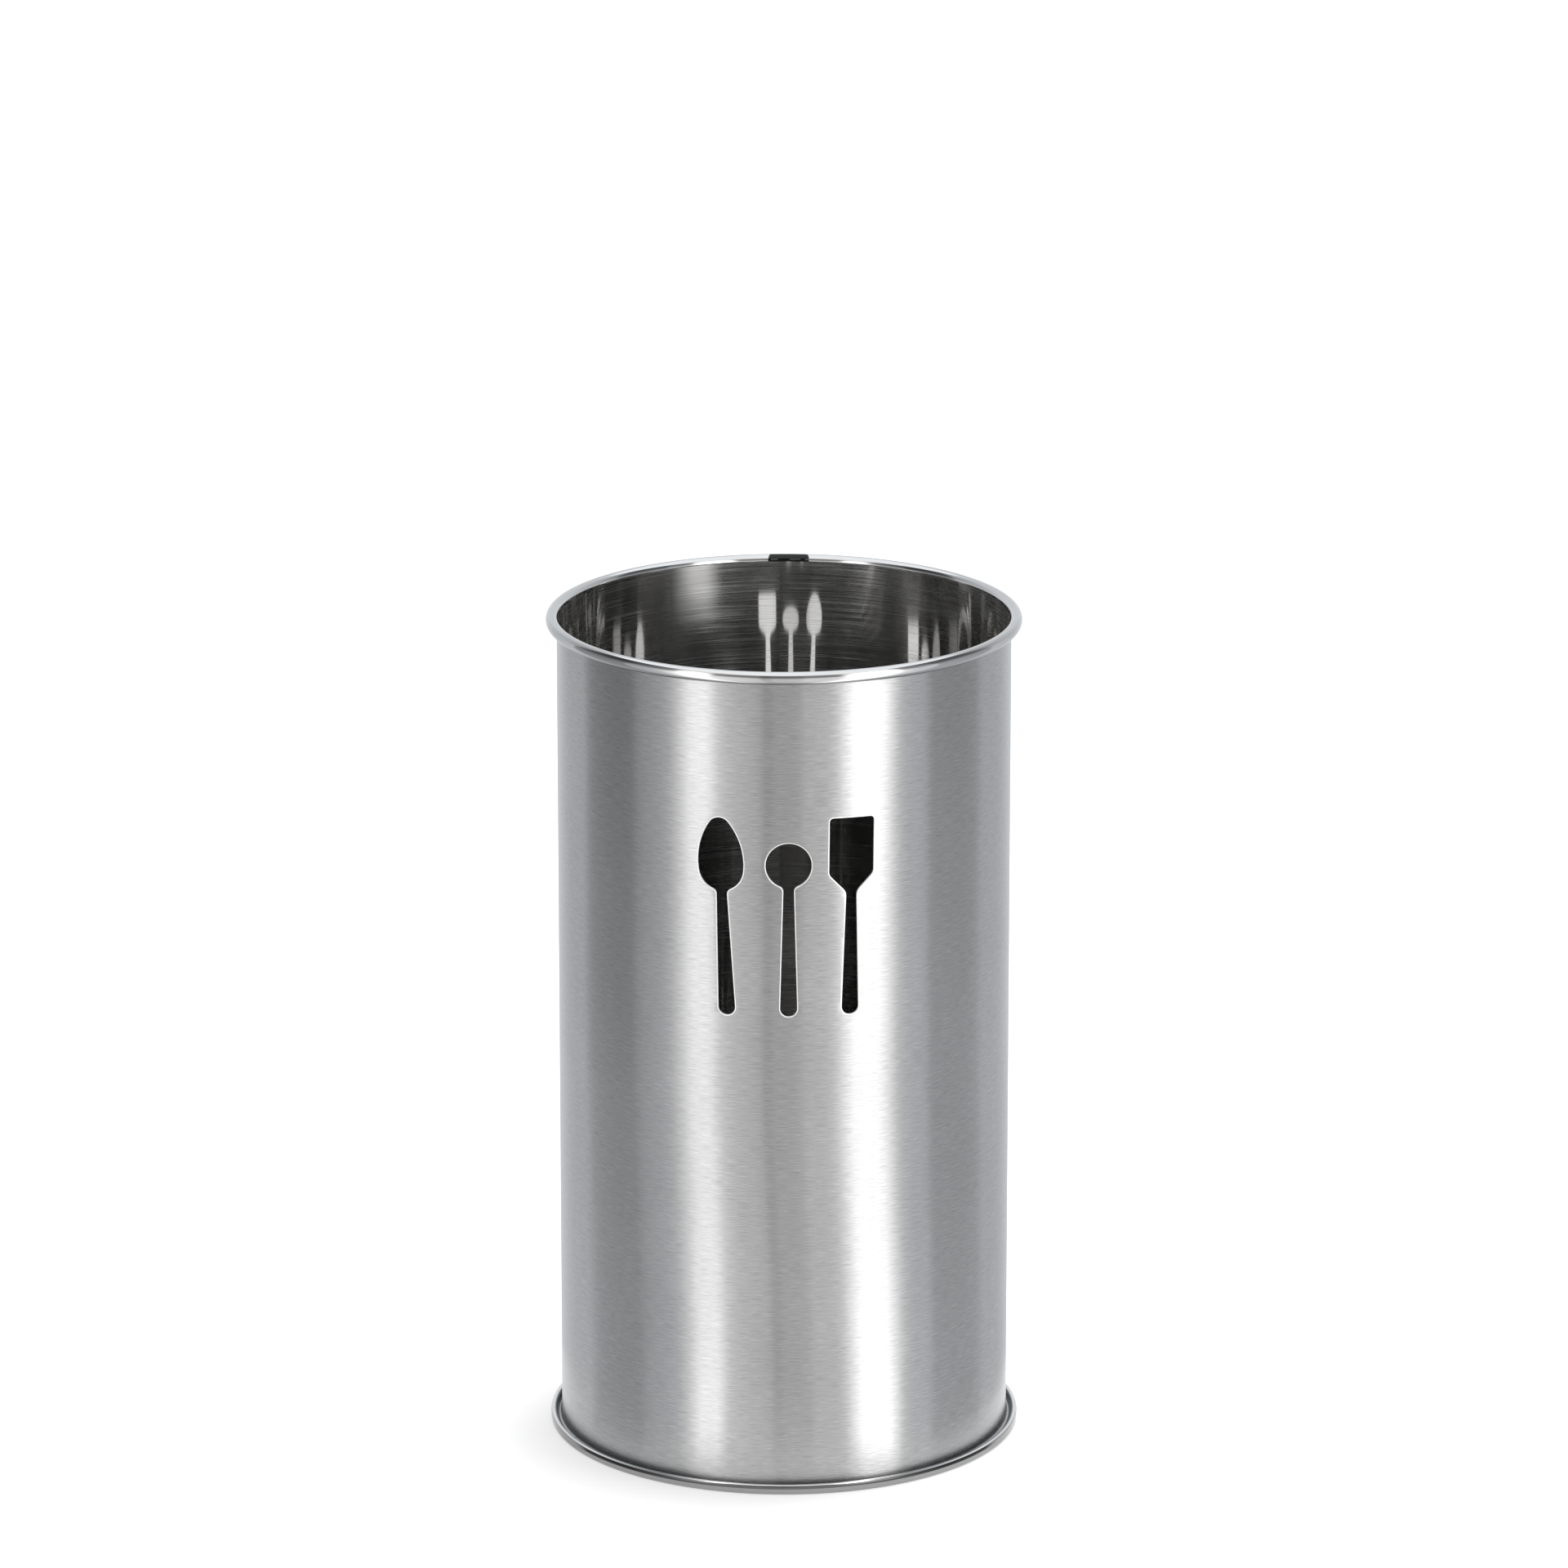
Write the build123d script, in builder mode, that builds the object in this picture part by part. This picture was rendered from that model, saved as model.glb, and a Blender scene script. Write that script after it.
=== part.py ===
from build123d import *
import os
from math import acos, cos, degrees, pi, radians, sin, sqrt, tan

# Utensil holder: a brushed stainless sleeve with a rolled rim, seamed onto a pressed base.
# Sizes are in millimetres. Z is up from the surface that the holder stands on, and the punched
# outlines face -Y. Places round the wall are distances along its outside, positive to the right.

# Sheet thicknesses
wall_sheet = 0.4
base_sheet = 0.6

# Sleeve
overall_height = 187.0
wall_diameter = 100.0
rim_curl_width = 2.8
rim_curl_height = 2.7
curl_end_gap = 0.1
hollow_sides = 6
foot_bend_radius = 0.6
bend_sides = 3

# Weld down the back of the sleeve, ground almost flush outside and fully flush inside
weld_width = 1.2
weld_crown = 0.05
weld_end_gap = 0.6

# Base
hem_groove = 1.3
hem_height = 2.3
crown_sides = 6
hem_corner_radius = 0.65
panel_rise = 1.6
step_width = 3.0
step_clearance = 0.8
seam_clearance = 0.02

# Punched outlines
handle_end_height = 109.4
outline_spacing = 13.5
spoon_lean = 2.4
turner_lean = -0.6

# Handle of every outline
handle_end_width = 3.7
neck_width = 2.3
neck_fillet = 1.2
neck_reach = 1.5

# Spoon: its bowl is an egg of four arcs
spoon_length = 44.4
spoon_bowl_length = 16.4
spoon_tip_radius = 2.6
spoon_heel_radius = 5.0
spoon_flank_radius = 15.0

# Ladle
ladle_length = 39.0
ladle_bowl_diameter = 10.0

# Turner
turner_length = 44.3
blade_width = 10.0
blade_straight_length = 12.7
blade_corner_radius = 0.8
shoulder_angle = 45.0
shoulder_radius = 1.8
shoulder_fillet = 2.2

# Radii and heights that follow from the sizes above
wall_radius = wall_diameter / 2
wall_inside = wall_radius - wall_sheet
lip_radius = wall_radius + hem_groove
fold_radius = lip_radius + base_sheet
base_radius = fold_radius + base_sheet
flange_radius = fold_radius - seam_clearance
flange_top = base_sheet + wall_sheet


def wall_plane(distance, lean):
    """Plane touching the outside of the wall where a handle ends, with its head leaning left."""
    angle = distance / wall_radius
    outward = Vector(sin(angle), -cos(angle), 0)
    along = Vector(cos(angle), sin(angle), 0)
    up = Vector(0, 0, 1)
    across = along * cos(radians(lean)) + up * sin(radians(lean))
    return Plane(origin=outward * wall_radius + up * handle_end_height, x_dir=across, z_dir=outward)


def draw_handle(head_foot):
    """Handle from its round end up to the foot of the head, and a little way into it."""
    end_radius = handle_end_width / 2
    taper = (end_radius - neck_width / 2) / (head_foot - end_radius)
    top_half_width = neck_width / 2 - taper * neck_reach
    top = head_foot + neck_reach
    with BuildSketch() as handle:
        with BuildLine():
            left = Line((-top_half_width, top), (-end_radius, end_radius))
            right = Line((end_radius, end_radius), (top_half_width, top))
            ThreePointArc(left @ 1, (0, 0), right @ 0)
            Line(right @ 1, left @ 0)
        make_face()
    return handle.sketch


def draw_egg():
    """Bowl of the spoon: a small tip circle and a large heel circle, joined by wide flank arcs."""
    tip = Vector(0, spoon_length - spoon_tip_radius)
    heel = Vector(0, spoon_length - spoon_bowl_length + spoon_heel_radius)
    tip_reach = spoon_flank_radius - spoon_tip_radius
    heel_reach = spoon_flank_radius - spoon_heel_radius
    apart = (tip - heel).length
    rise = (apart**2 + heel_reach**2 - tip_reach**2) / (2 * apart)
    flank = heel + Vector(-sqrt(heel_reach**2 - rise**2), rise)
    tip_join = flank + (tip - flank).normalized() * spoon_flank_radius
    heel_join = flank + (heel - flank).normalized() * spoon_flank_radius
    with BuildSketch() as egg:
        with BuildLine():
            right = RadiusArc(tip_join, heel_join, spoon_flank_radius)
            ThreePointArc(right @ 1, heel - Vector(0, spoon_heel_radius), (-heel_join.X, heel_join.Y))
            RadiusArc((-heel_join.X, heel_join.Y), (-tip_join.X, tip_join.Y), spoon_flank_radius)
            ThreePointArc((-tip_join.X, tip_join.Y), (0, spoon_length), right @ 0)
        make_face()
    return egg.sketch


def draw_spoon():
    with BuildSketch(wall_plane(-outline_spacing, spoon_lean)) as spoon:
        add(draw_handle(spoon_length - spoon_bowl_length))
        add(draw_egg())
        neck_corners = spoon.vertices().sort_by(Axis.Y)[2:4]
        fillet(neck_corners, neck_fillet)
    return spoon.sketch


def draw_ladle():
    with BuildSketch(wall_plane(0, 0)) as ladle:
        add(draw_handle(ladle_length - ladle_bowl_diameter))
        with Locations((0, ladle_length - ladle_bowl_diameter / 2)):
            Circle(ladle_bowl_diameter / 2)
        neck_corners = ladle.vertices().sort_by(Axis.Y)[2:4]
        fillet(neck_corners, neck_fillet)
    return ladle.sketch


def draw_turner():
    """Square-ended blade whose shoulders slope down into the neck."""
    slope = tan(radians(shoulder_angle))
    shoulder_height = turner_length - blade_straight_length
    neck_height = shoulder_height - (blade_width - neck_width) / 2 * slope
    with BuildSketch(wall_plane(outline_spacing, turner_lean)) as turner:
        add(draw_handle(neck_height))
        with BuildLine():
            Polyline(
                (-blade_width / 2, turner_length),
                (-blade_width / 2, shoulder_height),
                (0, shoulder_height - blade_width / 2 * slope),
                (blade_width / 2, shoulder_height),
                (blade_width / 2, turner_length),
                close=True,
            )
        make_face()
        corners = turner.vertices().sort_by(Axis.Y)
        fillet(corners[2:4], shoulder_fillet)
        fillet(corners[4:6], shoulder_radius)
        fillet(corners[6:8], blade_corner_radius)
    return turner.sketch


def draw_bend(centre, reach, rise, start, turn, sides):
    """Points of a bend in the sheet, from its start angle on through its turn."""
    angles = [radians(start + turn * side / sides) for side in range(sides + 1)]
    return [centre + Vector(cos(angle) * reach, sin(angle) * rise) for angle in angles]


# Sleeve. Its section starts at the end of the rim's curl, follows the curl's hollow to the outside
# of the wall, then runs down and out along the flange that the base clamps, and back inside.
curl_centre = Vector(wall_inside + rim_curl_width / 2, overall_height - rim_curl_height / 2)
curl_end = degrees(acos((wall_radius + curl_end_gap - curl_centre.X) / (rim_curl_width / 2)))
curl_turn = 180 + curl_end
hollow_reach = rim_curl_width / 2 - wall_sheet
hollow_rise = rim_curl_height / 2 - wall_sheet
foot_centre = Vector(wall_radius + foot_bend_radius, flange_top + foot_bend_radius)
foot_inside = foot_bend_radius + wall_sheet

# The weld is a low strip on the middle of the back
weld_foot = foot_centre.Y + weld_end_gap
weld_top = overall_height - rim_curl_height - weld_end_gap
weld_start = pi / 2 - weld_width / wall_radius / 2
weld_plane = Plane(
    origin=(0, 0, 0),
    x_dir=(cos(weld_start), sin(weld_start), 0),
    z_dir=(sin(weld_start), -cos(weld_start), 0),
)

with BuildPart() as body_wall:
    with BuildSketch(Plane.XZ):
        with BuildLine():
            curl = EllipticalCenterArc(
                curl_centre,
                rim_curl_width / 2,
                rim_curl_height / 2,
                start_angle=-curl_end,
                arc_size=curl_turn,
            )
            Polyline(
                curl @ 0,
                *draw_bend(curl_centre, hollow_reach, hollow_rise, -curl_end, curl_turn, hollow_sides),
                *draw_bend(foot_centre, foot_bend_radius, foot_bend_radius, 180, 90, bend_sides),
                (flange_radius, flange_top),
                (flange_radius, base_sheet),
                *draw_bend(foot_centre, foot_inside, foot_inside, 270, -90, bend_sides),
                curl @ 1,
            )
        make_face()
    revolve(axis=Axis.Z)
    with BuildSketch(weld_plane):
        with Locations((wall_inside, weld_foot)):
            Rectangle(wall_sheet + weld_crown, weld_top - weld_foot, align=(Align.MIN, Align.MIN))
    revolve(axis=Axis.Z, revolution_arc=degrees(weld_width / wall_radius))
    extrude(draw_spoon(), amount=-wall_radius, mode=Mode.SUBTRACT)
    extrude(draw_ladle(), amount=-wall_radius, mode=Mode.SUBTRACT)
    extrude(draw_turner(), amount=-wall_radius, mode=Mode.SUBTRACT)

# Base. The raised panel steps down to the flat land, and the rim turns up outside the flange and
# is folded back down inside itself, pressed flat, so that its edge holds the flange down.
land_radius = wall_inside - step_clearance
panel_radius = land_radius - step_width
lip_height = flange_top + seam_clearance
corner_centre = Vector(base_radius - hem_corner_radius, hem_corner_radius)
crown_centre = Vector(fold_radius, hem_height - base_sheet)

with BuildPart() as base_plate:
    with BuildSketch(Plane.XZ):
        with BuildLine():
            Polyline(
                (lip_radius, lip_height),
                (fold_radius, lip_height),
                (fold_radius, base_sheet),
                (land_radius, base_sheet),
                (panel_radius, panel_rise + base_sheet),
                (0, panel_rise + base_sheet),
                (0, panel_rise),
                (panel_radius, panel_rise),
                (land_radius, 0),
                *draw_bend(corner_centre, hem_corner_radius, hem_corner_radius, 270, 90, bend_sides),
                *draw_bend(crown_centre, base_sheet, base_sheet, 0, 180, crown_sides),
                close=True,
            )
        make_face()
    revolve(axis=Axis.Z)

os.makedirs("parts", exist_ok=True)
body_wall.part.label = "body_wall"
base_plate.part.label = "base_plate"
export_step(body_wall.part, "parts/body_wall.step")
export_step(base_plate.part, "parts/base_plate.step")
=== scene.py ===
from math import acos, asin, atan2, cos, pi, radians, sin, sqrt, tan

import bpy
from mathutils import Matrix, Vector
from mathutils.geometry import delaunay_2d_cdt


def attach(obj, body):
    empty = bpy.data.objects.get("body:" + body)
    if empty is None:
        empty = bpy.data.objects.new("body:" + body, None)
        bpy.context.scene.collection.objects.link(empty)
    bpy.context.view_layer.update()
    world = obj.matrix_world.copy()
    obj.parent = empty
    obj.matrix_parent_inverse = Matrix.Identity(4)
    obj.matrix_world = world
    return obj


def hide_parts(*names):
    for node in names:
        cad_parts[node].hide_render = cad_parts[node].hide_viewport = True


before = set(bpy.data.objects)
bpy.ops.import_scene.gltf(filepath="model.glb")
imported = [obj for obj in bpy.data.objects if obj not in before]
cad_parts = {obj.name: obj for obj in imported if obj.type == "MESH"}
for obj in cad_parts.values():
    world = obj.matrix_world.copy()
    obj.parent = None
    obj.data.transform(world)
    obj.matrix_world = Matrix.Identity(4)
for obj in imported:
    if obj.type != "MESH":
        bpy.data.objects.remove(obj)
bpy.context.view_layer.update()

# Sleeve
# One piece of 0.4 mm stainless sheet, brushed lengthwise on the side that becomes the outside. The
# flat blank is punched with three outlines, rolled round and welded at the back, then its foot is
# bent out into a flange and its top edge is curled outwards into the rim.
mm = 0.001
sleeve_radius = 50.0
sheet = 0.4
rim_height = 187.0
flange_top = 1.0
flange_reach = 1.28
# Both bends are measured along the middle of the sheet
foot_bend = 0.8
curl_radius = 1.2
curl_turn = radians(305)
foot_height = flange_top + foot_bend - sheet / 2
wall_height = rim_height - sheet / 2 - curl_radius - foot_height

# Circles that the punched outlines wind round, each (x, y, radius) from the end of the handle, with
# a minus sign before the radius where the outline is hollow
neck_fillet = 1.2
neck_centre = 2.35


def neck(bowl):
    """Hollow fillet between a handle and the bowl above it."""
    _, bowl_y, bowl_radius = bowl
    reach = bowl_radius + neck_fillet
    return (neck_centre, bowl_y - sqrt(reach**2 - neck_centre**2), -neck_fillet)


handle_end = (0, 1.85, 1.85)
spoon_heel = (0, 33, 5)
spoon_flank = (-9.91, 34.34, 15)
spoon_tip = (0, 41.8, 2.6)
ladle_bowl = (0, 34, 5)
turner_neck = (3.35, 26.84, -2.2)
turner_shoulder = (3.2, 32.35, 1.8)
turner_corner = (4.2, 43.5, 0.8)

# Each outline: its circles, its length, how far round the wall its handle ends, and its lean
outline_spacing = 13.5
handle_end_height = 109.4
outlines = (
    ((handle_end, neck(spoon_heel), spoon_heel, spoon_flank, spoon_tip), 44.4, -outline_spacing, 2.4),
    ((handle_end, neck(ladle_bowl), ladle_bowl), 39.0, 0, 0),
    ((handle_end, turner_neck, turner_shoulder, turner_corner), 44.3, outline_spacing, -0.6),
)


def follow_circles(circles, top, grow):
    """Right half of an outline, grown outwards, from its lowest point to its top."""
    arc_step = 0.3
    grown = [(Vector((x, y)), radius + grow) for x, y, radius in circles]
    turns = [-pi / 2]
    for (here, radius), (there, next_radius) in zip(grown, grown[1:]):
        way = there - here
        share = max(-1, min(1, (radius - next_radius) / way.length))
        turns.append(atan2(way.y, way.x) - acos(share))
    turns.append(pi / 2)
    points = []
    for (centre, radius), start, end, (_, _, punched) in zip(grown, turns, turns[1:], circles):
        while end - start > pi:
            end -= 2 * pi
        while end - start < -pi:
            end += 2 * pi
        steps = max(3, round(abs(end - start) * abs(punched) / arc_step))
        for step in range(steps + 1):
            angle = start + (end - start) * step / steps
            points.append(centre + Vector((cos(angle), sin(angle))) * radius)
    points.append(Vector((0, top + grow)))
    return points


def punch_outline(circles, top, aside, lean, grow):
    """Whole outline on the blank: both halves, leaned to the left about the end of the handle."""
    right = follow_circles(circles, top, grow)
    left = [Vector((-point.x, point.y)) for point in reversed(right[1:-1])]
    tilt = radians(lean)
    across = Vector((cos(tilt), sin(tilt)))
    up = Vector((-sin(tilt), cos(tilt)))
    place = Vector((aside, handle_end_height - foot_height))
    return [place + across * point.x + up * point.y for point in right + left]


def is_punched(place, shapes):
    """Whether a place on the blank lies inside one of the outlines."""
    punched = False
    for shape in shapes:
        for here, there in zip(shape, shape[1:] + shape[:1]):
            if (here[1] > place.y) != (there[1] > place.y):
                share = (place.y - here[1]) / (there[1] - here[1])
                punched ^= here[0] + share * (there[0] - here[0]) > place.x
    return punched


# The blank: distances round the wall and up it in mm, and height over the middle of the sheet
corners = []
faces = []
finishes = []
OUTSIDE, INSIDE, RIM, CUT = range(4)


def place_corner(round_wall, up_wall, level):
    """Adds a corner to the blank and gives its number."""
    corners.append((round_wall, up_wall, level))
    return len(corners) - 1


def add_face(face, finish, side=1):
    """Face with its finish, turned over where its side is -1."""
    faces.append(face if side > 0 else face[::-1])
    finishes.append(finish)


# Rows up the sheet: flange, foot bend, wall and curl, with a row close beside each bend to keep the
# flats flat. The panel that is punched lies between two of them.
panel_low = 104.0
panel_high = 158.0
foot_steps = 8
curl_steps = 34
foot_arc = foot_bend * pi / 2
flange_edge = -foot_arc - flange_reach
rows = [flange_edge, flange_edge + 0.1, -foot_arc - 0.08]
rows += [-foot_arc * (1 - step / foot_steps) for step in range(foot_steps)]
rows += [0, 0.3, 3, 30, 70, panel_low, panel_high, wall_height - 3, wall_height - 0.3]
rows += [wall_height + curl_radius * curl_turn * step / curl_steps for step in range(curl_steps + 1)]
panel_row = rows.index(panel_low)

# Columns round the sheet, of which the panel takes some in the middle
columns = 420
panel_half = 33
panel_rows = 40
panel_edges = range(columns // 2 - panel_half, columns // 2 + panel_half + 1)
half_round = pi * sleeve_radius
column_width = 2 * half_round / columns
places = [-half_round + column_width * column for column in range(columns + 1)]

# Deburring rounds the punched edges over, within this width and depth, and the panel's own points
# keep clear of them
edge_width = 0.24
edge_depth = 0.09
edge_steps = 3
clear_of_edge = 0.45

for side, finish in ((1, OUTSIDE), (-1, INSIDE)):
    level = side * sheet / 2
    grid = [[place_corner(place, row, level) for place in places] for row in rows]
    for row in range(len(rows) - 1):
        below, above = grid[row], grid[row + 1]
        for column in range(columns):
            if row != panel_row or column not in panel_edges[:-1]:
                face = [below[column], below[column + 1], above[column + 1], above[column]]
                add_face(face, RIM if rows[row] >= wall_height else finish, side)

    # Panel, cut into triangles between its border, the outlines and points set out evenly. Known is
    # the number of each point's corner, or none where the point is new.
    flat = [Vector((places[column], panel_low)) for column in panel_edges]
    flat += [Vector((places[column], panel_high)) for column in reversed(panel_edges)]
    known = [grid[panel_row][column] for column in panel_edges]
    known += [grid[panel_row + 1][column] for column in reversed(panel_edges)]
    border = [(index, (index + 1) % len(flat)) for index in range(len(flat))]
    rings = []
    for circles, top, aside, lean in outlines:
        ring = []
        for step in range(edge_steps + 1):
            if side > 0:
                quarter = pi / 2 * step / edge_steps
                grow = edge_width * (1 - sin(quarter))
                drop = edge_depth * (1 - cos(quarter))
            else:
                grow = edge_width * (1 - step / edge_steps)
                drop = 0
            outline = punch_outline(circles, top, aside, lean, grow)
            ring.append([place_corner(point.x, point.y, level - drop) for point in outline])
        rings.append(ring)
        first = len(flat)
        around = range(len(outline))
        flat += [Vector(corners[index][:2]) for index in ring[0]]
        known += ring[0]
        border += [(first + index, first + (index + 1) % len(outline)) for index in around]
        for outer, inner in zip(ring, ring[1:]):
            for index in around:
                after = (index + 1) % len(outline)
                face = [outer[index], outer[after], inner[after], inner[index]]
                add_face(face, CUT if side > 0 else INSIDE, side)
    outline_points = flat[2 * len(panel_edges):]
    for column in panel_edges[1:-1]:
        for row in range(1, panel_rows):
            point = Vector((places[column], panel_low + (panel_high - panel_low) * row / panel_rows))
            if min((point - other).length for other in outline_points) > clear_of_edge:
                flat.append(point)
                known.append(None)
    made, _, triangles, origins, _, _ = delaunay_2d_cdt(flat, border, [], 1, 1e-6)
    numbers = []
    for point, origin in zip(made, origins):
        index = known[origin[0]] if origin else None
        numbers.append(place_corner(point.x, point.y, level) if index is None else index)
    shapes = [[corners[index] for index in ring[0]] for ring in rings]
    for triangle in triangles:
        middle = sum((made[index] for index in triangle), Vector((0, 0))) / 3
        if not is_punched(middle, shapes):
            add_face([numbers[index] for index in triangle], finish, side)
    if side > 0:
        outer_grid = grid
        outer_rings = rings

# Sheet thickness shows in the punched outlines, at the flange's edge and at the curl's end
for outer_ring, inner_ring in zip(outer_rings, rings):
    outer, inner = outer_ring[-1], inner_ring[-1]
    for index in range(len(outer)):
        after = (index + 1) % len(outer)
        add_face([outer[index], outer[after], inner[after], inner[index]], CUT)
for outer, inner, edge, finish in ((outer_grid[0], grid[0], -1, CUT), (outer_grid[-1], grid[-1], 1, RIM)):
    for column in range(columns):
        add_face([outer[column], outer[column + 1], inner[column + 1], inner[column]], finish, edge)

blank = bpy.data.meshes.new("sleeve_blank")
blank.from_pydata([[value * mm for value in corner] for corner in corners], [], faces)
# Map of the sheet in parts of its length, which the brushed lines follow
sheet_length = 2 * half_round
foot_share = 0.1
grain = blank.uv_layers.new(name="sheet_grain")
for loop in blank.loops:
    round_wall, up_wall, _ = corners[loop.vertex_index]
    grain.uv[loop.index].vector = (round_wall / sheet_length + 0.5, up_wall / sheet_length + foot_share)
blank.attributes.new("finish", "INT", "FACE").data.foreach_set("value", finishes)


def new_piece(name, data):
    """New object in the scene, at the origin."""
    piece = bpy.data.objects.new(name, data)
    bpy.context.collection.objects.link(piece)
    return piece


def new_tree(name, sizes):
    """Geometry Nodes tree with a geometry input and output, and a named input for each size."""
    tree = bpy.data.node_groups.new(name, "GeometryNodeTree")
    tree.interface.new_socket("Geometry", in_out="INPUT", socket_type="NodeSocketGeometry")
    tree.interface.new_socket("Geometry", in_out="OUTPUT", socket_type="NodeSocketGeometry")
    for size in sizes:
        tree.interface.new_socket(size, in_out="INPUT", socket_type="NodeSocketFloat")
    return tree, tree.nodes.new("NodeGroupInput").outputs, tree.nodes.new("NodeGroupOutput").inputs


def add_node(tree, kind, values=(), **settings):
    """Node with its settings and its inputs, by name or by place; a socket is linked, a value is set."""
    node = tree.nodes.new(kind)
    for name, value in settings.items():
        setattr(node, name, value)
    for key, value in dict(values).items():
        if isinstance(value, bpy.types.NodeSocket):
            tree.links.new(value, node.inputs[key])
        else:
            node.inputs[key].default_value = value
    return node.outputs


def reckon(tree, operation, *values):
    """One step of a sum in a node tree."""
    return add_node(tree, "ShaderNodeMath", enumerate(values), operation=operation)[0]


def join(tree, operation, result, *others):
    """Adds or multiplies any number of values, or takes the greatest of them."""
    for other in others:
        result = reckon(tree, operation, result, other)
    return result


def set_sizes(piece, tree, sizes):
    """Puts the tree on the piece as a modifier, with its inputs set by identifier."""
    forming = piece.modifiers.new(tree.name, "NODES")
    forming.node_group = tree
    for item in tree.interface.items_tree:
        if item.item_type == "SOCKET" and item.in_out == "INPUT" and item.name in sizes:
            forming[item.identifier] = sizes[item.name]


def settle(piece):
    """Makes the formed shape a plain mesh, faces smooth between crisp corners."""
    crisp = radians(38)
    ready = bpy.context.evaluated_depsgraph_get()
    formed = piece.evaluated_get(ready)
    plain = bpy.data.meshes.new_from_object(formed, preserve_all_data_layers=True, depsgraph=ready)
    piece.modifiers.clear()
    piece.data = plain
    plain.shade_smooth()
    plain.set_sharp_from_angle(angle=crisp)


def set_sockets(shader, **values):
    """Sets a shader for bare metal, and the sockets that are named, with _ for a space."""
    shader.inputs["Metallic"].default_value = 1
    for socket, value in values.items():
        shader.inputs[socket.replace("_", " ")].default_value = value
    return shader


def new_finish(name, **values):
    """Material with one shader and its sockets set."""
    material = bpy.data.materials.new(name)
    material.use_nodes = True
    tree = material.node_tree
    return material, tree, set_sockets(tree.nodes["Principled BSDF"], **values)


def feed(tree, shader, **values):
    """Links values to a shader's inputs, named with _ for a space."""
    for socket, value in values.items():
        tree.links.new(value, shader.inputs[socket.replace("_", " ")])


def find_place(tree):
    """How far across, deep and high a point of the piece is, in metres."""
    return add_node(tree, "ShaderNodeSeparateXYZ", {0: add_node(tree, "ShaderNodeTexCoord")["Object"]})


def find_reach(tree, across, deep):
    """How far a point of the piece is from the holder's axis."""
    squares = [reckon(tree, "MULTIPLY", side, side) for side in (across, deep)]
    return reckon(tree, "SQRT", reckon(tree, "ADD", *squares))


def find_grain(tree):
    """Place on the flat sheet, and the direction in which it was brushed or rolled."""
    place = add_node(tree, "ShaderNodeUVMap", uv_map="sheet_grain")[0]
    return place, add_node(tree, "ShaderNodeTangent", direction_type="UV_MAP", uv_map="sheet_grain")[0]


def streaks(tree, place, along, across, detail=3.0, roughness=0.6):
    """Noise drawn out round the wall; along and across are how many marks fit in the sheet's length."""
    drawn = add_node(tree, "ShaderNodeMapping", {"Vector": place, "Scale": (along, across, 1)})[0]
    return add_node(tree, "ShaderNodeTexNoise", {"Vector": drawn, "Scale": 1.0, "Detail": detail,
                                                 "Roughness": roughness})[0]


def spread(tree, value, low, high, start=0.25, end=0.75, change="LINEAR"):
    """From low to high while the value, often a noise, goes from start to end."""
    return add_node(tree, "ShaderNodeMapRange", {0: value, 1: start, 2: end, 3: low, 4: high},
                    interpolation_type=change)[0]


def fade(tree, value, low, high, start, end):
    """The same as spread, with a soft start and end."""
    return spread(tree, value, low, high, start, end, "SMOOTHSTEP")


def tint(tree, tone, green=1.0, blue=1.0):
    """Colour of a brightness, grey unless its green and blue are held back."""
    return add_node(tree, "ShaderNodeCombineColor", {
        0: tone,
        1: reckon(tree, "MULTIPLY", tone, green),
        2: reckon(tree, "MULTIPLY", tone, blue),
    })[0]


def shade_relief(tree, level):
    """Normal of a surface that stands up by a level in metres."""
    return add_node(tree, "ShaderNodeBump", {"Strength": 1.0, "Distance": 1.0, "Height": level})["Normal"]


# Brushed finish of the outside: fine lines round the wall, a little uneven in depth and brightness
outside_finish, tree, shader = new_finish("brushed_outside", Anisotropic=1.0, Anisotropic_Rotation=0.25)
sheet_place, round_holder = find_grain(tree)
across, deep, high = find_place(tree)
fine = streaks(tree, sheet_place, 110, 2400)
broad = streaks(tree, sheet_place, 30, 700, 2.0)
clouds = streaks(tree, sheet_place, 9, 12, 2.0, 0.5)
brushed = reckon(tree, "ADD", reckon(tree, "MULTIPLY", fine, 0.8), reckon(tree, "MULTIPLY", broad, 0.2))
tone = reckon(tree, "ADD", spread(tree, brushed, -0.09, 0.09, 0.35, 0.65), spread(tree, clouds, 0.45, 0.48))
# Painted shade: the sleeve's flange, down in the seam at the foot, is painted dark
seam_shade_edge = (50.6 * mm, 50.7 * mm)
clear_of_seam_shade = spread(tree, find_reach(tree, across, deep), 1.0, 0.05, *seam_shade_edge)
# The weld at the back is ground almost flush, across the brushed lines, and stays a little darker
weld_edge = (0.55 * mm, 0.68 * mm)
from_weld = reckon(tree, "ADD", reckon(tree, "ABSOLUTE", across), reckon(tree, "LESS_THAN", deep, 0.0))
ground = spread(tree, from_weld, 0.88, 1.0, *weld_edge)
tone = join(tree, "MULTIPLY", tone, clear_of_seam_shade, ground)
# The sheet isn't quite true: it waves slightly, and turns a little to one side towards the seam
turned = reckon(tree, "MULTIPLY", across, spread(tree, high, 0.0, 0.09, 90 * mm, 10 * mm))
waved = reckon(tree, "MULTIPLY", streaks(tree, sheet_place, 6, 8, 1.0), 0.2 * mm)
scratched = reckon(tree, "MULTIPLY", fine, 0.0012 * mm)
level = join(tree, "ADD", turned, waved, scratched)
feed(tree, shader, Base_Color=tint(tree, tone), Roughness=spread(tree, brushed, 0.24, 0.28),
     Tangent=round_holder, Normal=shade_relief(tree, level))

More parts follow.
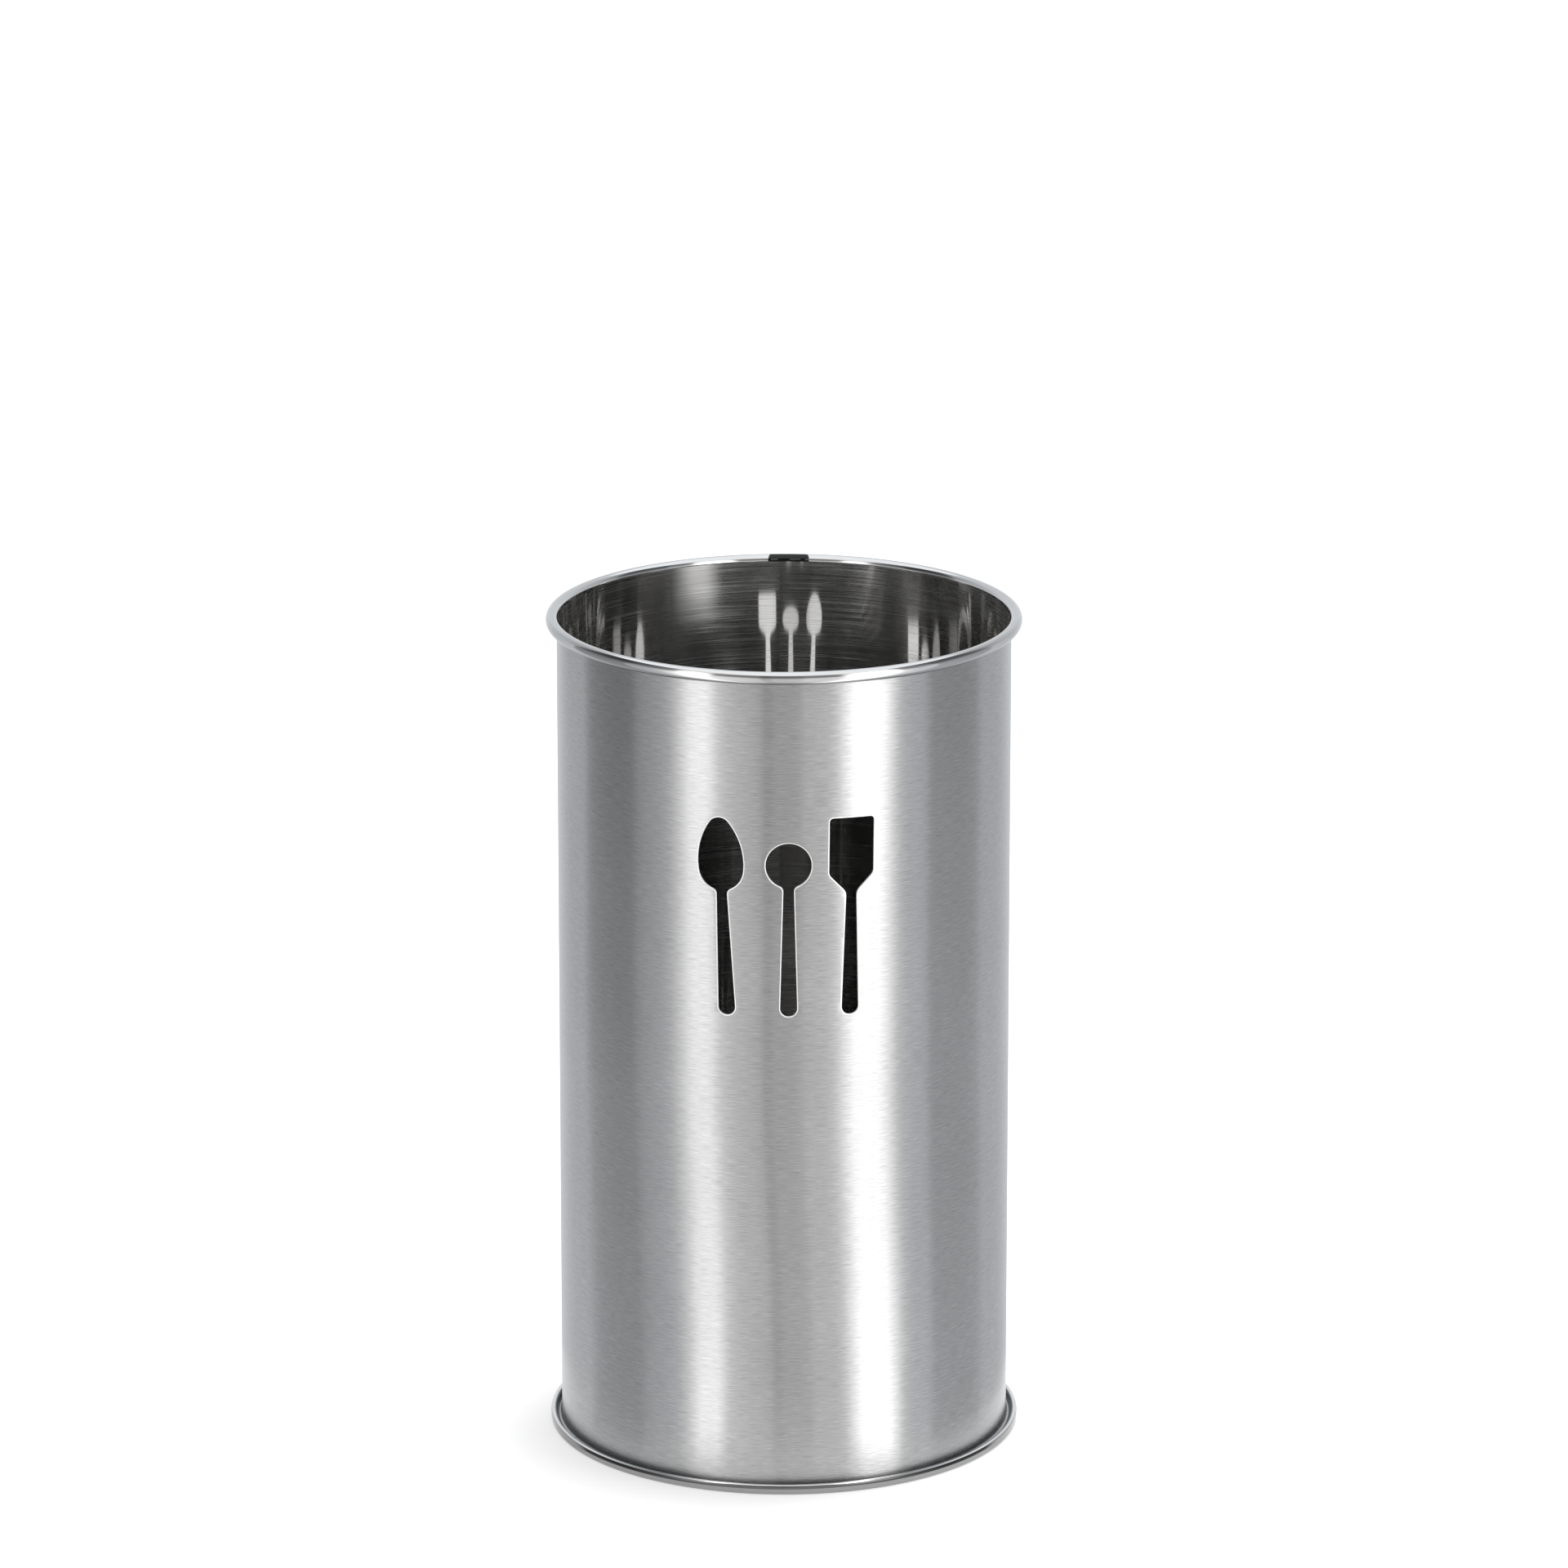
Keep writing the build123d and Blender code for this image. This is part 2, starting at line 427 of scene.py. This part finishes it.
# Inside: the sheet's bright side, lightly scored round the wall by rolling and by use. Two shaders
# mix, one for the bright metal and one for its haze.
inside_finish, tree, bright = new_finish("bright_inside", Anisotropic=0.9, Anisotropic_Rotation=0.25)
hazed = set_sockets(tree.nodes.new("ShaderNodeBsdfPrincipled"),
                    Anisotropic=1.0, Anisotropic_Rotation=0.25, Roughness=0.32)
sheet_place, round_holder = find_grain(tree)
across, deep, high = find_place(tree)
to_side = reckon(tree, "ABSOLUTE", across)
scores = streaks(tree, sheet_place, 12, 1300, 4.0, 0.7)
clouds = streaks(tree, sheet_place, 9, 14, 2.0, 0.5)
tone = reckon(tree, "ADD", spread(tree, scores, -0.03, 0.03), spread(tree, clouds, 0.68, 0.72))
# Darker towards the left and right sides
darker_at_sides = fade(tree, to_side, 1.0, 0.76, 21 * mm, 27 * mm)
colour = tint(tree, reckon(tree, "MULTIPLY", tone, darker_at_sides), 0.99, 0.975)
# The rolled sheet isn't quite true: it is flatter towards the weld, where it also turns from one side
# to the other
flat_reach = 0.92
from_weld = reckon(tree, "ABSOLUTE", reckon(tree, "ARCTAN2", across, deep))
from_weld = reckon(tree, "MINIMUM", from_weld, flat_reach)
flatter = spread(tree, across, -2.5 * mm, -0.9 * mm, -12 * mm, 30 * mm)
flattened = join(tree, "MULTIPLY", from_weld, from_weld, flatter)
swing = reckon(tree, "MINIMUM", reckon(tree, "MULTIPLY", across, 50.0), pi / 2)
swing = reckon(tree, "MAXIMUM", swing, -pi / 2)
turned = reckon(tree, "MULTIPLY", reckon(tree, "SINE", swing), -0.48 * mm)
# It bulges beside the weld below the rim, and leans outwards to either side
bulge_height = 176.3 * mm
bulge_low = 148 * mm
bulge_curve = -1.47
lean_out = -0.056
up_from = reckon(tree, "SUBTRACT", reckon(tree, "SMOOTH_MAX", high, bulge_low, 14 * mm), bulge_height)
bulge = join(tree, "MULTIPLY", up_from, up_from, bulge_curve)
aside = fade(tree, to_side, 0.0, 1.0, 10 * mm, 24.5 * mm)
leaning = reckon(tree, "SUBTRACT", reckon(tree, "MULTIPLY", up_from, lean_out), bulge)
leaning = reckon(tree, "MULTIPLY", leaning, aside)
scratched = reckon(tree, "MULTIPLY", scores, 0.0003 * mm)
uneven = shade_relief(tree, join(tree, "ADD", flattened, turned, bulge, leaning, scratched))
for metal in (bright, hazed):
    feed(tree, metal, Base_Color=colour, Tangent=round_holder, Normal=uneven)
feed(tree, bright, Roughness=spread(tree, scores, 0.045, 0.12, 0.5, 0.8))
# Utensils have rubbed it dull beside the weld, just below the rim
scored = reckon(tree, "ADD", scores, reckon(tree, "MULTIPLY", clouds, 0.4))
rubbed = join(
    tree, "MULTIPLY",
    fade(tree, across, 0.0, 1.0, -12 * mm, -17 * mm),
    fade(tree, across, 0.0, 1.0, -27 * mm, -22 * mm),
    fade(tree, high, 0.0, 1.0, 168 * mm, 181 * mm),
    fade(tree, deep, 0.0, 1.0, 0.0, 10 * mm),
)
haze = reckon(tree, "ADD", spread(tree, scored, 0.05, 0.42, 0.66, 0.9), reckon(tree, "MULTIPLY", rubbed, 0.5))
both = add_node(tree, "ShaderNodeMixShader", {0: haze, 1: bright.outputs[0], 2: hazed.outputs[0]})[0]
tree.links.new(both, tree.nodes["Material Output"].inputs["Surface"])

# Rim: the curling rollers burnish it, so it shines more than the wall
rim_finish, tree, shader = new_finish("burnished_rim")
sheet_place = add_node(tree, "ShaderNodeUVMap", uv_map="sheet_grain")[0]
across, deep, high = find_place(tree)
rolled = streaks(tree, sheet_place, 20, 700)
# Its underside is painted darker, as painted shade under the curl
curl_underside_shade = spread(tree, high, 0.45, 1.0, 184.6 * mm, 185.2 * mm)
# The weld's end on the rim is left dark from its heat, a little to one side of the weld
dark_middle = 2 * mm
from_weld = reckon(tree, "ABSOLUTE", reckon(tree, "SUBTRACT", across, dark_middle))
dark_half = spread(tree, deep, 4.6 * mm, 3.5 * mm, 49.6 * mm, 52.4 * mm)
unheated = spread(tree, reckon(tree, "SUBTRACT", from_weld, dark_half), 0.05, 1.0, -0.1 * mm, 0.1 * mm)
front = spread(tree, deep, 1.0, 0.0, 0.0, 1 * mm)
# A scraper has left a broken bright line across that patch
stroke_height = 186.1 * mm
broken = spread(tree, streaks(tree, sheet_place, 200, 1, 0.0), 0.0, 1.0, 0.52, 0.56)
from_stroke = reckon(tree, "ABSOLUTE", reckon(tree, "SUBTRACT", high, stroke_height))
scraped = reckon(tree, "MULTIPLY", broken, spread(tree, from_stroke, 1.0, 0.0, 0.05 * mm, 0.09 * mm))
kept = join(tree, "MAXIMUM", unheated, scraped, front)
tone = join(tree, "MULTIPLY", spread(tree, rolled, 0.60, 0.66), curl_underside_shade, kept)
feed(tree, shader, Base_Color=tint(tree, tone), Roughness=spread(tree, rolled, 0.05, 0.09))

# Punched edges: cut bright and rounded over by deburring
cut_finish, tree, shader = new_finish("deburred_edge")
edge_place = add_node(tree, "ShaderNodeTexCoord")["Object"]
tumbled = add_node(tree, "ShaderNodeTexNoise", {"Vector": edge_place, "Scale": 4000.0, "Detail": 2.0})[0]
feed(tree, shader, Base_Color=tint(tree, spread(tree, tumbled, 0.82, 0.92)),
     Roughness=spread(tree, tumbled, 0.3, 0.45))

# Forming: the flat blank is bent along its section and rolled round the middle of the holder
sleeve_sizes = {
    "Wall radius": sleeve_radius * mm,
    "Sheet": sheet * mm,
    "Wall height": wall_height * mm,
    "Foot height": foot_height * mm,
    "Foot bend": foot_bend * mm,
    "Rim curl": curl_radius * mm,
}
tree, size, result = new_tree("form_sleeve", sleeve_sizes)
blank_place = add_node(tree, "GeometryNodeInputPosition")[0]
round_wall, up_wall, level = add_node(tree, "ShaderNodeSeparateXYZ", {0: blank_place})
quarter_bend = reckon(tree, "MULTIPLY", size["Foot bend"], pi / 2)
below = reckon(tree, "MAXIMUM", reckon(tree, "MULTIPLY", up_wall, -1.0), 0.0)
foot_turn = reckon(tree, "DIVIDE", reckon(tree, "MINIMUM", below, quarter_bend), size["Foot bend"])
flange = reckon(tree, "MAXIMUM", reckon(tree, "SUBTRACT", below, quarter_bend), 0.0)
straight = reckon(tree, "MINIMUM", reckon(tree, "MAXIMUM", up_wall, 0.0), size["Wall height"])
above = reckon(tree, "MAXIMUM", reckon(tree, "SUBTRACT", up_wall, size["Wall height"]), 0.0)
rim_turn = reckon(tree, "DIVIDE", above, size["Rim curl"])
turn = reckon(tree, "SUBTRACT", foot_turn, rim_turn)


def bend_out(tree, radius, angle):
    """How far out, and how far along the wall, a bend has carried the sheet."""
    out = reckon(tree, "MULTIPLY", radius, reckon(tree, "SUBTRACT", 1.0, reckon(tree, "COSINE", angle)))
    return out, reckon(tree, "MULTIPLY", radius, reckon(tree, "SINE", angle))


def wrap_round(tree, out, angle, high):
    """Place at an angle round the holder, from the front to the right."""
    to_front = reckon(tree, "MULTIPLY", reckon(tree, "COSINE", angle), -1.0)
    return add_node(tree, "ShaderNodeCombineXYZ", {
        "X": reckon(tree, "MULTIPLY", out, reckon(tree, "SINE", angle)),
        "Y": reckon(tree, "MULTIPLY", out, to_front),
        "Z": high,
    })[0]


def form(tree, shape, place):
    """Moves the blank's corners to their places and closes its seam."""
    seam = 1e-6
    shape = add_node(tree, "GeometryNodeSetPosition", {"Geometry": shape, "Position": place})[0]
    shape = add_node(tree, "GeometryNodeMergeByDistance", {"Geometry": shape, "Distance": seam})[0]
    return add_node(tree, "GeometryNodeRealizeInstances", {"Geometry": shape})[0]


foot_out, foot_down = bend_out(tree, size["Foot bend"], foot_turn)
rim_out, rim_up = bend_out(tree, size["Rim curl"], rim_turn)
middle = reckon(tree, "SUBTRACT", size["Wall radius"], reckon(tree, "MULTIPLY", size["Sheet"], 0.5))
level_out = reckon(tree, "MULTIPLY", level, reckon(tree, "COSINE", turn))
level_up = reckon(tree, "MULTIPLY", level, reckon(tree, "SINE", turn))
out = join(tree, "ADD", middle, foot_out, flange, rim_out, level_out)
high = reckon(tree, "SUBTRACT", reckon(tree, "ADD", size["Foot height"], straight), foot_down)
high = join(tree, "ADD", high, rim_up, level_up)
azimuth = reckon(tree, "DIVIDE", round_wall, size["Wall radius"])
shape = form(tree, size["Geometry"], wrap_round(tree, out, azimuth, high))
kind = add_node(tree, "GeometryNodeInputNamedAttribute", {"Name": "finish"}, data_type="INT")[0]
for number, finish in enumerate((outside_finish, inside_finish, rim_finish, cut_finish)):
    chosen = add_node(tree, "FunctionNodeCompare", {"A": kind, "B": number},
                      data_type="INT", operation="EQUAL")[0]
    shape = add_node(tree, "GeometryNodeSetMaterial",
                     {"Geometry": shape, "Selection": chosen, "Material": finish})[0]
tree.links.new(shape, result[0])
sleeve = new_piece("sleeve", blank)
set_sizes(sleeve, tree, sleeve_sizes)
settle(sleeve)
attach(sleeve, "root")
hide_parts("body_wall")

# Base
# A disc pressed from 0.6 mm stainless sheet: a panel raised off the table, a flat land to stand on,
# and a rim that turns up round the sleeve's flange and is folded back down inside itself to clamp it.
base_sheet = 0.6
hem_groove = 1.3
hem_height = 2.3
panel_rise = 1.6
panel_radius = 45.8
land_radius = 48.8
step_bend = 1.2
corner_bend = 0.65
lip_bend = 0.12
# Just under the sheet, because the fold's two bends share a crown two sheets wide
fold_bend = base_sheet * 0.995
seam_gap = 0.02
lip_radius = sleeve_radius + hem_groove
fold_radius = lip_radius + base_sheet
base_radius = fold_radius + base_sheet
panel_top = panel_rise + base_sheet
lip_edge = flange_top + seam_gap


def bend_line(points, radii, steps=6):
    """Line through the points in mm, each corner rounded to its radius in a few steps."""
    line = [Vector(points[0])]
    for before, corner, after, radius in zip(points, points[1:], points[2:], radii):
        corner = Vector(corner)
        back = (Vector(before) - corner).normalized()
        ahead = (Vector(after) - corner).normalized()
        half = back.angle(ahead) / 2
        if radius == 0:
            line.append(corner)
            continue
        reach = radius / tan(half)
        centre = corner + (back + ahead).normalized() * (radius / sin(half))
        start = corner + back * reach - centre
        sweep = pi - 2 * half
        way = 1 if back.x * ahead.y - back.y * ahead.x < 0 else -1
        for step in range(steps + 1):
            angle = way * sweep * step / steps
            line.append(centre + Vector((start.x * cos(angle) - start.y * sin(angle),
                                         start.x * sin(angle) + start.y * cos(angle))))
    line.append(Vector(points[-1]))
    return line


section = bend_line(
    [(0, panel_top), (panel_radius, panel_top), (land_radius, base_sheet), (fold_radius, base_sheet),
     (fold_radius, lip_edge), (lip_radius, lip_edge), (lip_radius, hem_height), (base_radius, hem_height),
     (base_radius, 0), (land_radius, 0), (panel_radius, panel_rise), (0, panel_rise)],
    [step_bend, step_bend + base_sheet, 0, 0, lip_bend, fold_bend, fold_bend, corner_bend,
     step_bend, step_bend + base_sheet],
)
# A row close beside each bend keeps the flats flat
beside_bend = 0.15
longest_bare = 0.7
rows = []
for here, there in zip(section, section[1:]):
    rows.append(here)
    gap = (there - here).length
    if gap > longest_bare:
        rows += [here.lerp(there, beside_bend / gap), here.lerp(there, 1 - beside_bend / gap)]
rows.append(section[-1])
along = [0.0]
for here, there in zip(rows, rows[1:]):
    along.append(along[-1] + (there - here).length)

# The blank of the base: angle round it, distance from its middle, and height
turns = 240
spots = [(2 * pi * step / turns, number) for number in range(len(rows)) for step in range(turns + 1)]
base_corners = [(angle, rows[number].x * mm, rows[number].y * mm) for angle, number in spots]
base_faces = []
for number in range(len(rows) - 1):
    for step in range(turns):
        here = number * (turns + 1) + step
        there = here + turns + 1
        base_faces.append([here, there, there + 1, here + 1])
base_mesh = bpy.data.meshes.new("base_blank")
base_mesh.from_pydata(base_corners, [], base_faces)
grain = base_mesh.uv_layers.new(name="sheet_grain")
for loop in base_mesh.loops:
    angle, number = spots[loop.vertex_index]
    grain.uv[loop.index].vector = (angle / (2 * pi), along[number] / sheet_length)

# Turned and pressed bright: fine rings from the tool
base_finish, tree, shader = new_finish("bright_base", Anisotropic=0.5, Anisotropic_Rotation=0.25)
sheet_place, round_holder = find_grain(tree)
across, deep, high = find_place(tree)
out = find_reach(tree, across, deep)
to_side = reckon(tree, "ABSOLUTE", across)
tool_rings = streaks(tree, sheet_place, 12, 900)
# The same painted shade in the seam darkens the inner side of the folded rim
past_inner_side = spread(tree, out, 0.0, 1.0, 51.4 * mm, 51.55 * mm)
on_crown = spread(tree, high, 0.0, 1.0, 2.05 * mm, 2.2 * mm)
on_panel = spread(tree, out, 1.0, 0.0, 51.0 * mm, 51.2 * mm)
clear_of_seam_shade = join(tree, "MAXIMUM", past_inner_side, on_crown, on_panel)
seam_shaded = spread(tree, clear_of_seam_shade, 0.75, 1.0, 0.0, 1.0)
# The crown of the rim is painted brighter, a painted highlight, and a dark line round its shoulder is a
# painted reflection, lighter in the middle of the front and fading out at both sides, where the rim
# is painted darker as painted shade
dark_reflection_height = 1.72 * mm
painted_crown_highlight = spread(tree, high, 0.66, 1.8, 2.04 * mm, 2.1 * mm)
from_dark_reflection = reckon(tree, "ABSOLUTE", reckon(tree, "SUBTRACT", high, dark_reflection_height))
beside_dark_reflection = spread(tree, from_dark_reflection, 0.1, 1.0, 0.3 * mm, 0.38 * mm)
reflection_lighter_in_front = spread(tree, to_side, 0.4, 0.1, 15 * mm, 35 * mm)
past_dark_reflection = spread(tree, to_side, 0.0, 1.0, 44 * mm, 47 * mm)
inward = spread(tree, out, 1.0, 0.0, 51.9 * mm, 52 * mm)
off_dark_reflection = join(tree, "MAXIMUM", beside_dark_reflection, reflection_lighter_in_front, inward, past_dark_reflection)
# Past the line, at both sides, the rim is painted darker: painted shade
painted_shade_aside = spread(tree, past_dark_reflection, 1.0, 0.78, 0.0, 1.0)
tone = spread(tree, tool_rings, 0.50, 0.55)
tone = join(tree, "MULTIPLY", tone, seam_shaded, painted_crown_highlight, off_dark_reflection, painted_shade_aside)
feed(tree, shader, Base_Color=tint(tree, tone), Roughness=spread(tree, tool_rings, 0.04, 0.08),
     Tangent=round_holder)

tree, size, result = new_tree("spin_base", {})
blank_place = add_node(tree, "GeometryNodeInputPosition")[0]
angle, out, high = add_node(tree, "ShaderNodeSeparateXYZ", {0: blank_place})
shape = form(tree, size["Geometry"], wrap_round(tree, out, angle, high))
shape = add_node(tree, "GeometryNodeSetMaterial", {"Geometry": shape, "Material": base_finish})[0]
tree.links.new(shape, result[0])
base = new_piece("base", base_mesh)
set_sizes(base, tree, {})
settle(base)
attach(base, "root")
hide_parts("base_plate")

# Floor
# White table that runs back out of sight. The camera and the metal see it lit white, and it keeps
# the holder's shadow.
reach = 12.0
floor_mesh = bpy.data.meshes.new("floor")
floor_corners = [(-reach, -reach, 0), (reach, -reach, 0), (reach, reach, 0), (-reach, reach, 0)]
floor_mesh.from_pydata(floor_corners, [], [[0, 1, 2, 3]])
floor = new_piece("floor", floor_mesh)
white, tree, shader = new_finish("white_table", Base_Color=(0.8, 0.8, 0.8, 1), Metallic=0, Roughness=0.9,
                                 Specular_IOR_Level=0, Emission_Color=(1, 1, 1, 1))


def looked_at(tree):
    """1 for what the camera or the metal looks at, 0 for the light that falls on things."""
    sight = add_node(tree, "ShaderNodeLightPath")
    rays = [sight[name] for name in ("Is Camera Ray", "Is Glossy Ray", "Is Transmission Ray")]
    return join(tree, "MAXIMUM", *rays)


lit_white = 0.53
feed(tree, shader, Emission_Strength=reckon(tree, "MULTIPLY", looked_at(tree), lit_white))
floor_mesh.materials.append(white)

# Light
# Soft white room light, and a tall tent round the table whose bright and dark cloths draw the bands
# on the brushed wall.
world = bpy.data.worlds.new("room")
bpy.context.scene.world = world
world.use_nodes = True
tree = world.node_tree
room = tree.nodes["Background"]
room.inputs["Color"].default_value = (1, 1, 1, 1)
room_light = 0.415
feed(tree, room, Strength=spread(tree, looked_at(tree), room_light, 1.0, 0.0, 1.0))

# How bright the cloths are, by how many degrees to the right of the camera the wall reflects them
bands = (
    (0, 0.64), (8, 0.72), (11, 0.95), (20, 0.95), (26, 1.1), (32, 2.0), (37, 2.8), (50, 2.9), (55, 2.1),
    (60, 1.1), (66, 0.84), (77, 0.78), (79, 0.44), (100, 0.37), (115, 0.39), (118, 0.65), (140, 0.62),
    (163, 0.82), (197, 0.82), (219, 0.6), (240, 0.64), (243, 0.27), (266, 0.19), (278, 0.22),
    (280, 0.42), (294, 0.6), (300, 0.8), (306, 1.4), (312, 2.15), (321, 2.1), (327, 1.22),
    (334, 1.0), (348, 0.8), (350, 0.5), (353, 0.5), (354.5, 0.66), (360, 0.66),
)
# The cloths lean outwards: height, reach to the sides and to the front, how much of their light is
# the same all round, how far they dim towards the top, and how strong the lamps behind them are. A
# bright roof closes the tent.
levels = (
    (0.001, 0.06, 0.07, 0.4, 1.0, 1.1),
    (0.02, 0.088, 0.112, 0.4, 1.0, 0.8),
    (0.06, 0.125, 0.18, 0.33, 1.0, 0.67),
    (0.14, 0.164, 0.29, 0.17, 1.0, 0.83),
    (0.2, 0.19, 0.34, 0.1, 1.0, 0.9),
    (0.28, 0.21, 0.37, 0.0, 0.35, 2.6),
    (0.44, 0.22, 0.34, 0.0, 0.3, 0.7),
    (0.46, 0.22, 0.28, 0.5, 0.9, 0.0),
    (0.47, 0.22, 0.26, 1.0, 1.3, 0.0),
)
panels = 360
# The camera stands a little to the left, and each strip of cloth stands where the wall shows it
view_turn = radians(-1.15)
tent_corners = []
for height, half_width, half_depth, _, _, _ in levels:
    # Above 0.26 m the cloths are set back, by 0.06 m at the roof
    set_back = 0.06 * max(0, (height - 0.26) / 0.21)
    for step in range(panels):
        shown_at = 2 * pi * step / panels
        if shown_at > pi:
            shown_at -= 2 * pi
        distance = 1 / sqrt((sin(shown_at) / half_width) ** 2 + (cos(shown_at) / half_depth) ** 2)
        angle = view_turn + shown_at - asin(sleeve_radius * mm * sin(shown_at / 2) / distance)
        tent_corners.append((distance * sin(angle), set_back - distance * cos(angle), height))
cloth_faces = []
for row in range(len(levels) - 1):
    for step in range(panels):
        low, after = row * panels + step, row * panels + (step + 1) % panels
        cloth_faces.append([after, low, low + panels, after + panels])
roof = list(range((len(levels) - 1) * panels, len(levels) * panels))
tent_mesh = bpy.data.meshes.new("tent")
tent_mesh.from_pydata(tent_corners, [], cloth_faces + [roof])

brightest_cloth = 1.2
cloth_light = tent_mesh.attributes.new("cloth_light", "FLOAT_COLOR", "POINT")
for index, corner in enumerate(cloth_light.data):
    bounced, dimmed, lamps = levels[index // panels][3:]
    angle = index % panels * 360 / panels
    for (start, dim), (end, bright) in zip(bands, bands[1:]):
        if start <= angle < end:
            glow = dim + (bright - dim) * (angle - start) / (end - start)
    cloth = min(glow, brightest_cloth)
    through = glow - cloth
    # Cloths behind the holder don't dim towards the top
    behind = max(0, min(1, (70 - abs(angle - 180)) / 25))
    dimmed += max(0, 1 - dimmed) * behind
    glow = (cloth + (1 - cloth) * bounced) * dimmed + through * lamps
    # Away from the lamps the light is a little cool
    cool = 0.03 if 62 < angle < 300 else 0
    corner.color = (glow * (1 - cool), glow, glow * (1 + cool), 1)
tent = new_piece("tent", tent_mesh)
tent.visible_camera = False
tent.visible_diffuse = False
tent.visible_shadow = False
cloths = bpy.data.materials.new("tent_cloths")
cloths.use_nodes = True
tree = cloths.node_tree
tree.nodes.clear()
lit = add_node(tree, "ShaderNodeAttribute", attribute_name="cloth_light")["Color"]
shown = add_node(tree, "ShaderNodeEmission", {"Color": lit})[0]
tree.links.new(shown, tree.nodes.new("ShaderNodeOutputMaterial").inputs["Surface"])
tent_mesh.materials.append(cloths)

# A wide lamp high above casts the holder's soft shadow
lamp = bpy.data.lights.new("softbox", "AREA")
lamp.shape = "RECTANGLE"
lamp.size = 0.45
lamp.size_y = 0.45
lamp.energy = 35
softbox = new_piece("softbox", lamp)
softbox.location = (0.13, 0.14, 2.4)
softbox.rotation_euler = (Vector((0, 0, 0.08)) - softbox.location).to_track_quat("-Z", "Y").to_euler()
softbox.visible_glossy = False
softbox.visible_camera = False

# Camera
# Stands 1.8 m in front of the holder, a little to its left and 0.66 m above the table, and looks
# down at it through a long lens.
eye = bpy.data.cameras.new("camera")
eye.sensor_width = 36
eye.lens = 194.5
eye.clip_end = 50
away = 1.8
eye_height = 0.6605
looks_down = 15.905
camera = new_piece("camera", eye)
camera.location = (away * sin(view_turn), -away * cos(view_turn), eye_height)
camera.rotation_euler = (radians(90 - looks_down), 0, view_turn)
bpy.context.scene.camera = camera
bpy.context.scene.view_settings.view_transform = "Standard"
bpy.context.scene.cycles.glossy_bounces = 12

bpy.context.view_layer.update()
